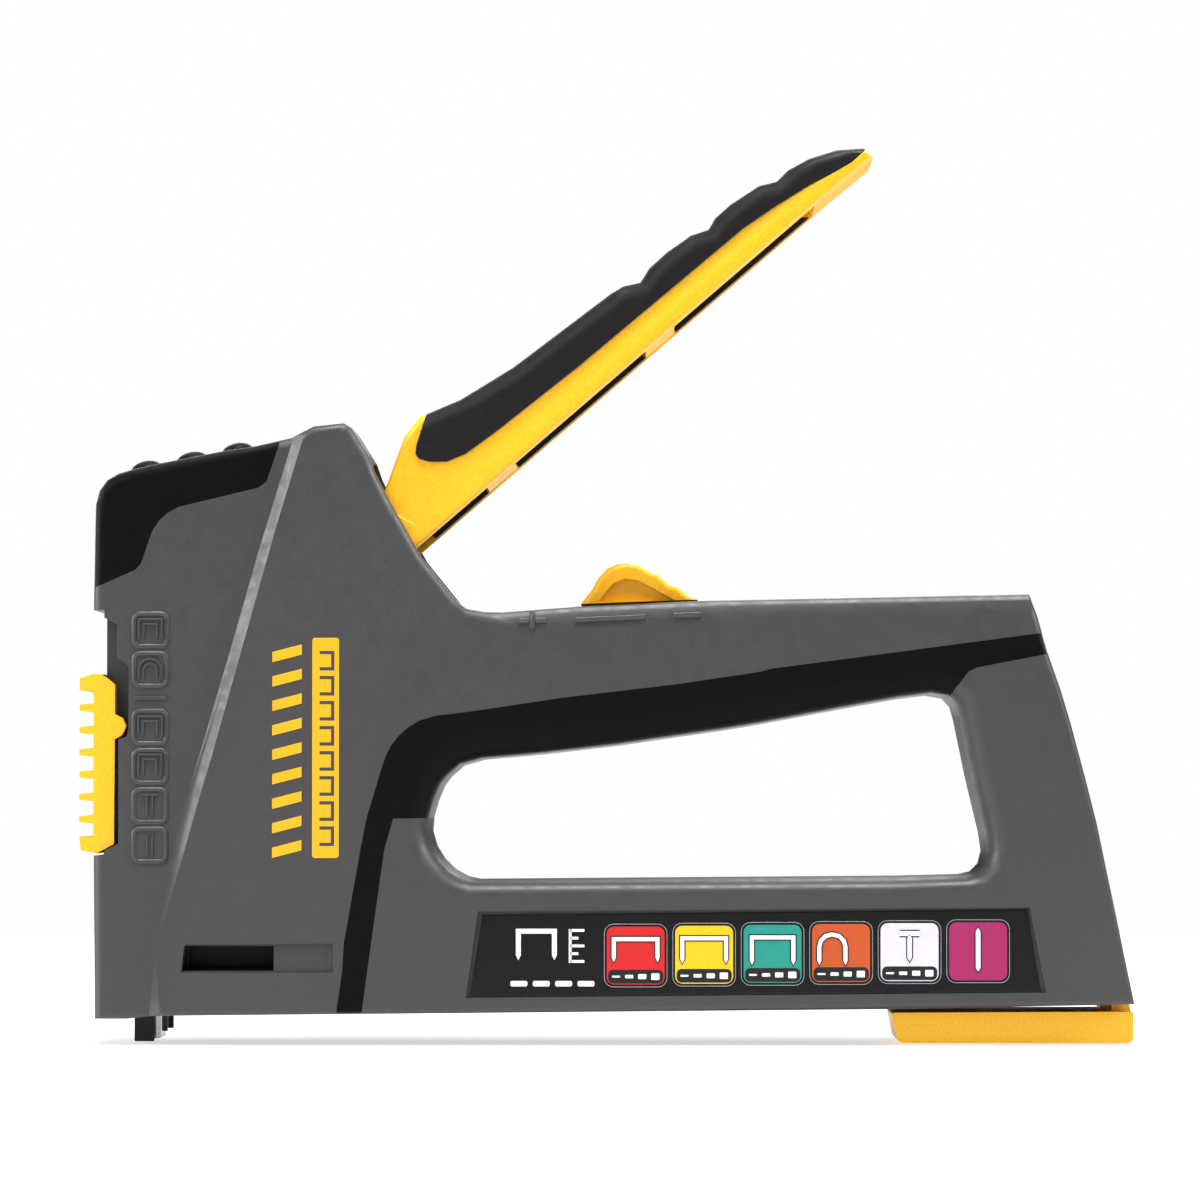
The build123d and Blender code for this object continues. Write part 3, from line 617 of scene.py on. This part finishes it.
nose_y = shell_face(-84, 60)[0].y
icon_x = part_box("left_shell")[0].x / MM + 10.6
icon_rows = [75.9, 68.6, 58.0, 51.0, 43.6, 36.3]     # heights of the six frames, top to bottom
icon_frame = {"width": 6.0, "height": 6.0, "corner": 1.1, "line": 0.42, "thickness": 0.84}
frame_row("selector_frames_top", body_nylon, 2, (icon_x, nose_y, icon_rows[0]), (0, 0, -7.3),
          **icon_frame)
frame_row("selector_frames_low", body_nylon, 4, (icon_x, nose_y, icon_rows[2]), (0, 0, -7.22),
          **icon_frame)

# %% [markdown]
# ## Ribs on the nose
# Three rubber ribs run across the top of the nose, where the other hand presses the tool down. Their ends
# are domed, because a thumb would catch on a flat one and tear it off. Geometry Nodes pull the two halves
# of a sphere apart into a rod with round ends and set three flattened ones along the slope. They cover
# the plain ribs of the CAD pads, which keep their place and size.

# %% A tree that sets domed ribs in a row
def rib_row_tree(material):
    """Flattened rods across Y with domed ends, half sunk in the surface below them."""
    tree = bpy.data.node_groups.new("rib_row", "GeometryNodeTree")
    face = tree.interface
    face.new_socket("Count", in_out="INPUT", socket_type="NodeSocketInt")
    for name in ("First", "Step", "Half Size", "Slope"):
        face.new_socket(name, in_out="INPUT", socket_type="NodeSocketVector")
    face.new_socket("Straight", in_out="INPUT", socket_type="NodeSocketFloat")
    face.new_socket("Geometry", in_out="OUTPUT", socket_type="NodeSocketGeometry")
    size = add(tree, "NodeGroupInput").outputs
    ball = add(tree, "GeometryNodeMeshUVSphere", {"Segments": 24, "Rings": 16, "Radius": 1.0})
    lying = add(tree, "GeometryNodeTransform", {
        "Geometry": ball.outputs[0], "Rotation": (math.radians(90), 0, 0)})
    flat = add(tree, "GeometryNodeTransform", {"Geometry": lying.outputs[0], "Scale": size["Half Size"]})
    place = add(tree, "ShaderNodeSeparateXYZ", {0: add(tree, "GeometryNodeInputPosition").outputs[0]})
    # Snapping keeps the sphere's middle ring, whose Y is zero but for rounding, where it is.
    ring = add(tree, "ShaderNodeMath", {0: place.outputs["Y"], 1: 0.1 * MM}, operation="SNAP")
    end = add(tree, "ShaderNodeMath", {0: ring.outputs[0]}, operation="SIGN")
    reach = add(tree, "ShaderNodeMath", {0: end.outputs[0], 1: size["Straight"]}, operation="MULTIPLY")
    apart = add(tree, "ShaderNodeCombineXYZ", {"Y": reach.outputs[0]})
    rod = add(tree, "GeometryNodeSetPosition", {"Geometry": flat.outputs[0], "Offset": apart.outputs[0]})
    soft = add(tree, "GeometryNodeSetShadeSmooth", {"Geometry": rod.outputs[0]})
    row = add(tree, "GeometryNodeMeshLine", {
        "Count": size["Count"], "Start Location": size["First"], "Offset": size["Step"]})
    copies = add(tree, "GeometryNodeInstanceOnPoints", {
        "Points": row.outputs[0], "Instance": soft.outputs[0], "Rotation": size["Slope"]})
    real = add(tree, "GeometryNodeRealizeInstances", {"Geometry": copies.outputs[0]})
    done = add(tree, "GeometryNodeSetMaterial", {"Geometry": real.outputs[0], "Material": material})
    add(tree, "NodeGroupOutput", {"Geometry": done.outputs[0]})
    return tree


print("the row climbs by", round(math.degrees(math.atan2(1.65, 8.4)), 1), "degrees")

# %% Three ribs
ribs = grow("nose_ribs", rib_row_tree(grip_rubber), {
    "Count": 3, "First": Vector((-84.95, 0, 105.5)) * MM, "Step": Vector((8.4, 0, 1.65)) * MM,
    "Half Size": Vector((3.1, 2.4, 1.9)) * MM, "Slope": (0, -math.radians(11.3), 0),
    "Straight": 9.4 * MM})
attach(ribs, "root")

# %% [markdown]
# ## Raised symbols
# The same tool that moulds the body half cuts the symbols, so they have the body's own finish: a staple
# or nail in each frame, a bar between the two groups, and on the grip's shoulder a plus, a bar and a
# minus that say which way the force adjuster goes.

# %% Symbols in the frames
PEN = 0.36
STAPLES = [(4.2, 3.6, 0.0), (4.2, 3.6, 2.0), (4.4, 3.4, 0.0), (4.2, 3.8, 0.0)]     # width, leg, bend
symbols = []
for z, (width, leg, bend) in zip(icon_rows, STAPLES):
    symbols.append(stroke(arch(icon_x, z + 2.0, width, leg, bend), PEN, 0.2))
    symbols.append(stroke(arch(icon_x, z + 1.1, width - 1.8, leg - 0.9, max(0, bend - 0.9)), PEN, 0.2))
for z in icon_rows[4:]:
    for x in (icon_x - 0.5, icon_x + 0.5):
        symbols.append(stroke([(x, z + 1.9), (x, z - 1.9)], PEN, 0.3))
symbols.append(stroke([(icon_x - 1.6, icon_rows[4] + 2.0), (icon_x + 1.6, icon_rows[4] + 2.0)], PEN))
symbols.append(rounded(icon_x, 63.4, 6.2, 0.7, 0.3))
marks("selector_symbols", symbols, shell_face, 0.42, body_nylon, edge=0.12)

# %% Plus, bar and minus on the grip
knob_x = (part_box("adjuster_knob")[0].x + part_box("adjuster_knob")[1].x) / 2 / MM
plus_x, bar_x, minus_x = knob_x - 19.6, knob_x - 5.3, knob_x + 8.8


def level_line(x0, x1, z0, z1, width, pieces=6):
    """A line cut in short pieces, so that it follows a curved surface."""
    share = [i / pieces for i in range(pieces + 1)]
    return stroke([(x0 + (x1 - x0) * t, z0 + (z1 - z0) * t) for t in share], width)


force = [
    level_line(plus_x - 2.5, plus_x - 0.55, 77.4, 77.45, 0.95, 2),
    level_line(plus_x + 0.55, plus_x + 2.5, 77.5, 77.55, 0.95, 2),
    stroke([(plus_x, 79.1), (plus_x, 78.3), (plus_x, 77.5), (plus_x, 76.7), (plus_x, 75.9)], 1.0),
    level_line(bar_x - 6.5, bar_x + 6.5, 77.6, 78.2, 0.9),
    level_line(minus_x - 2.6, minus_x + 2.6, 78.4, 78.6, 0.95),
]
marks("force_symbols", force, shell_face, 0.40, body_nylon, edge=0.18)

# %% [markdown]
# ## Printed panel on the side
# Behind the diagonal step the body carries a yellow print. This one is a plain pattern: a column of
# slanted dashes, like the stripes on a warning tape, beside a solid bar with staple-shaped windows. Pad
# printing lays the ink on the grain, so the marks stand only a few hundredths of a millimetre proud. The
# windows are body colour laid over the bar, which looks the same as a bar with holes and is simpler.

# %% Dashes and bar
PANEL_LOW, PANEL_HIGH, ROWS = 34.0, 74.4, 9
pin_x = (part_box("lever_pin")[0].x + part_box("lever_pin")[1].x) / 2 / MM
step = (PANEL_HIGH - PANEL_LOW) / ROWS
front_x, rear_x = pin_x - 12.3, pin_x - 6.9
dashes = []
for i in range(ROWS):
    low, high = PANEL_LOW + step * i, PANEL_LOW + step * (i + 0.42)
    dashes.append([(front_x, low), (rear_x, low + 1.4), (rear_x, high + 1.4), (front_x, high)])
marks("panel_dashes", dashes, shell_face, 0.03, yellow_ink)
bar = rounded(pin_x - 2.5, (PANEL_LOW + PANEL_HIGH) / 2, 4.9, PANEL_HIGH - PANEL_LOW, 0.5)
marks("panel_bar", [bar], shell_face, 0.03, yellow_ink)

# %% Windows in the bar
left_x, right_x = pin_x - 3.6, pin_x - 1.2
windows = []
for z in (36.5 + 4.6 * i for i in range(8)):
    windows.append(stroke([(left_x, z), (right_x, z), (right_x, z + 3.0), (left_x, z + 3.0)], 0.6))
marks("panel_windows", windows, shell_face, 0.05, body_nylon)

# %% [markdown]
# ## Springs
# The pusher is driven forward by a long thin coil on a rod, and the hammer by a short stout one that lies
# in the grip. A coil follows a rule, so both come from the Spiral node. Each stands in place of its CAD
# solid, which is hidden.

# %% Coil from a spiral
def coil_tree(material):
    """Round wire on a helix along +X, or tilted down from it."""
    tree = bpy.data.node_groups.new("coil", "GeometryNodeTree")
    face = tree.interface
    for name in ("Turns", "Radius", "Wire", "Length"):
        face.new_socket(name, in_out="INPUT", socket_type="NodeSocketFloat")
    for name in ("Start", "Turned"):
        face.new_socket(name, in_out="INPUT", socket_type="NodeSocketVector")
    face.new_socket("Geometry", in_out="OUTPUT", socket_type="NodeSocketGeometry")
    size = add(tree, "NodeGroupInput").outputs
    spiral = add(tree, "GeometryNodeCurveSpiral", {
        "Resolution": 20, "Rotations": size["Turns"], "Start Radius": size["Radius"],
        "End Radius": size["Radius"], "Height": size["Length"]})
    section = add(tree, "GeometryNodeCurvePrimitiveCircle", {"Resolution": 8, "Radius": size["Wire"]})
    wire = add(tree, "GeometryNodeCurveToMesh", {
        "Curve": spiral.outputs[0], "Profile Curve": section.outputs[0], "Fill Caps": True})
    lying = add(tree, "GeometryNodeTransform", {
        "Geometry": wire.outputs[0], "Translation": size["Start"], "Rotation": size["Turned"]})
    shaded = add(tree, "GeometryNodeSetShadeSmooth", {"Geometry": lying.outputs[0]})
    real = add(tree, "GeometryNodeRealizeInstances", {"Geometry": shaded.outputs[0]})
    done = add(tree, "GeometryNodeSetMaterial", {"Geometry": real.outputs[0], "Material": material})
    add(tree, "NodeGroupOutput", {"Geometry": done.outputs[0]})
    return tree


# %% Coil in place of a CAD spring
def spring(name, node, body, turns, radius, wire, length, tilt):
    """Sizes in metres, tilt in degrees below the horizontal."""
    low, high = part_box(node)
    middle = (low + high) / 2
    along = Vector((math.cos(math.radians(tilt)), 0, -math.sin(math.radians(tilt))))
    piece = grow(name, coil_tree(spring_steel), {
        "Turns": turns, "Radius": radius, "Wire": wire, "Length": length,
        "Start": middle - along * length / 2, "Turned": (0, math.radians(90 + tilt), 0)})
    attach(piece, body)
    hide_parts(node)
    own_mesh(piece)
    print(name, "is", round(length / MM, 1), "mm long and has", len(piece.data.polygons), "faces")


# %% Pusher spring and main spring
pusher_low, pusher_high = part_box("pusher_spring")
spring("pusher_coil", "pusher_spring", "magazine", turns=40.0, radius=1.9 * MM, wire=0.3 * MM,
       length=pusher_high.x - pusher_low.x - 0.6 * MM, tilt=0)
spring("main_coil", "main_spring", "root", turns=5.0, radius=4.1 * MM, wire=0.8 * MM,
       length=12.6 * MM, tilt=15)

# %% [markdown]
# ## Studio
# A white floor stands for the paper that such a tool is laid out on. It glows a little, so that it stays
# white while the lights are kept low for the sake of the blacks.

# %% Floor
FLOOR_RADIUS = 0.8
floor_material, tree = new_material("white_studio_floor")
place = add(tree, "ShaderNodeTexCoord").outputs["Object"]
faint = add(tree, "ShaderNodeTexNoise", {"Vector": place, "Scale": 4.0})
rough = add(tree, "ShaderNodeMapRange", {"Value": faint.outputs["Fac"], "To Min": 0.85, "To Max": 0.95})
shader = add(tree, "ShaderNodeBsdfPrincipled", {
    "Base Color": linear("#B0B0B0"), "Roughness": rough.outputs[0], "Specular IOR Level": 0.1,
    "Emission Color": linear("#FFFFFF"), "Emission Strength": 0.62})
add(tree, "ShaderNodeOutputMaterial", {"Surface": shader.outputs[0]})

bm = bmesh.new()
bmesh.ops.create_circle(bm, cap_ends=True, segments=96, radius=FLOOR_RADIUS)
for vert in bm.verts:
    vert.co.z = -0.4 * MM
floor_mesh = bpy.data.meshes.new("floor")
bm.to_mesh(floor_mesh)
bm.free()
floor_mesh.materials.append(floor_material)
new_object("floor", floor_mesh)
print("floor", 2 * FLOOR_RADIUS, "m across")

# %% [markdown]
# The surround is white to the camera but gives the tool little light, because a black part in an
# all-white room looks grey. A Light Path node tells the camera's own rays from the rest.

# %% Surround
world = bpy.data.worlds.new("surround")
world.use_nodes = True
bpy.context.scene.world = world
tree = world.node_tree
tree.nodes.clear()
eye = add(tree, "ShaderNodeLightPath").outputs["Is Camera Ray"]
seen = add(tree, "ShaderNodeBackground", {"Color": linear("#FFFFFF"), "Strength": 1.0})
given = add(tree, "ShaderNodeBackground", {"Color": linear("#FFFFFF"), "Strength": 0.12})
mix = add(tree, "ShaderNodeMixShader", {0: eye, 1: given.outputs[0], 2: seen.outputs[0]})
add(tree, "ShaderNodeOutputWorld", {"Surface": mix.outputs[0]})
print("surround has", len(tree.nodes), "nodes")

# %% [markdown]
# The light comes from large round panels, which give soft edges like a studio's boxes. The strong ones
# stand almost in the plane of the tool, at its two ends and above, so they graze the flat sides and draw
# the rounded edges. Weak ones in front and behind fill the sides. The Standard view keeps the white
# floor white, where a filmic one would grey it.

# %% Lights
LIGHTS = {     # place in metres, width in metres, power in watts
    "front": ((-0.7, -1.1, 0.9), 0.9, 7),
    "left": ((-1.5, -0.15, 0.5), 0.6, 20),
    "above": ((0.0, -0.3, 1.6), 0.7, 34),
    "right": ((1.3, -0.2, 0.9), 0.6, 20),
    "behind": ((0.4, 1.2, 0.9), 0.9, 9),
}
middle = Vector((0, 0, 80)) * MM
for name, (place, width, power) in LIGHTS.items():
    panel = bpy.data.lights.new(name, "AREA")
    panel.shape = "DISK"
    panel.size = width
    panel.energy = power
    light = new_object(name, panel)
    light.location = place
    light.rotation_euler = (middle - Vector(place)).to_track_quat("-Z", "Y").to_euler()
bpy.context.scene.view_settings.view_transform = "Standard"
print("lights:", list(LIGHTS))
